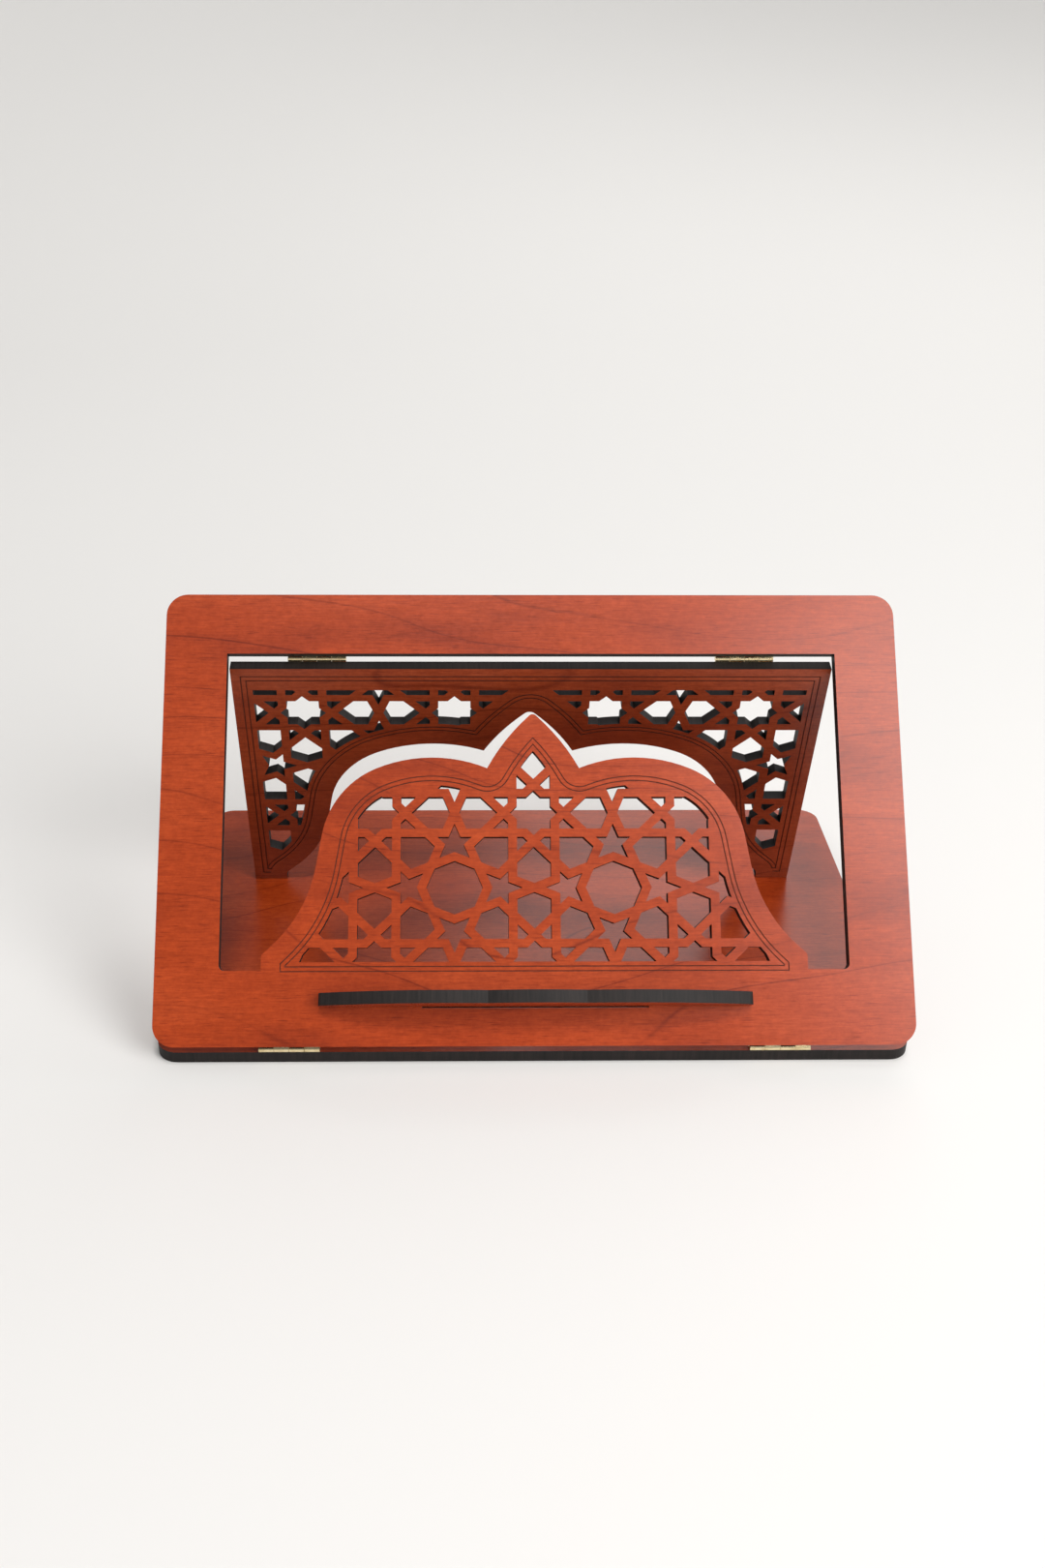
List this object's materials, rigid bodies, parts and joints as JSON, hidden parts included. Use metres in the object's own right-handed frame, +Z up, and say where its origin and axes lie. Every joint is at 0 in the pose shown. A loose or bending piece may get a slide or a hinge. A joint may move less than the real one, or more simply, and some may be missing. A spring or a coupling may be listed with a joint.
{
  "type": "quran stand",
  "caption": "Folding quran stand: hinged base and reading boards, pierced bell ornament, pierced strut and a lobed book ledge.",
  "frame": {"origin": "centre of the base board's underside", "axes": "+X to the reader's right along the hinges, +Y from the front edge to the back, +Z up"},
  "size_m": [0.33, 0.2084, 0.1679],
  "materials": {
    "stained_board": "semi-gloss red-brown stained wood grain with charcoal cut edges",
    "brass_hinge": "polished, slightly tarnished",
    "brass_screw": "polished countersunk heads"
  },
  "bodies": {
    "base": {"base_board": "stained_board", "front_left_hinge_base_leaf": "brass_hinge", "front_left_hinge_base_screws": "brass_screw", "front_left_hinge_pin": "brass_hinge", "front_right_hinge_base_leaf": "brass_hinge", "front_right_hinge_base_screws": "brass_screw", "front_right_hinge_pin": "brass_hinge"},
    "reading_board": {"reading_board": "stained_board", "book_ledge": "stained_board", "front_left_hinge_board_leaf": "brass_hinge", "front_left_hinge_board_screws": "brass_screw", "strut_left_hinge_board_leaf": "brass_hinge", "strut_left_hinge_board_screws": "brass_screw", "strut_left_hinge_pin": "brass_hinge", "front_right_hinge_board_leaf": "brass_hinge", "front_right_hinge_board_screws": "brass_screw", "strut_right_hinge_board_leaf": "brass_hinge", "strut_right_hinge_board_screws": "brass_screw", "strut_right_hinge_pin": "brass_hinge"},
    "strut": {"strut_panel": "stained_board", "strut_left_hinge_strut_leaf": "brass_hinge", "strut_left_hinge_strut_screws": "brass_screw", "strut_right_hinge_strut_leaf": "brass_hinge", "strut_right_hinge_strut_screws": "brass_screw"}
  },
  "joints": [
    {"name": "board_tilt", "type": "hinge", "parent": "base", "child": "reading_board", "pos_m": [0, -0.10005, 0.0069], "axis": [1, 0, 0], "range_deg": [0, 39.1]},
    {"name": "strut_swing", "type": "hinge", "parent": "reading_board", "child": "strut", "pos_m": [0, 0.00956, 0.14178], "axis": [1, 0, 0], "range_deg": [-51.96, 0]}
  ],
  "couplings": [
    {"joint": "strut_swing", "follows": "board_tilt", "ratio": -1.3289}
  ]
}
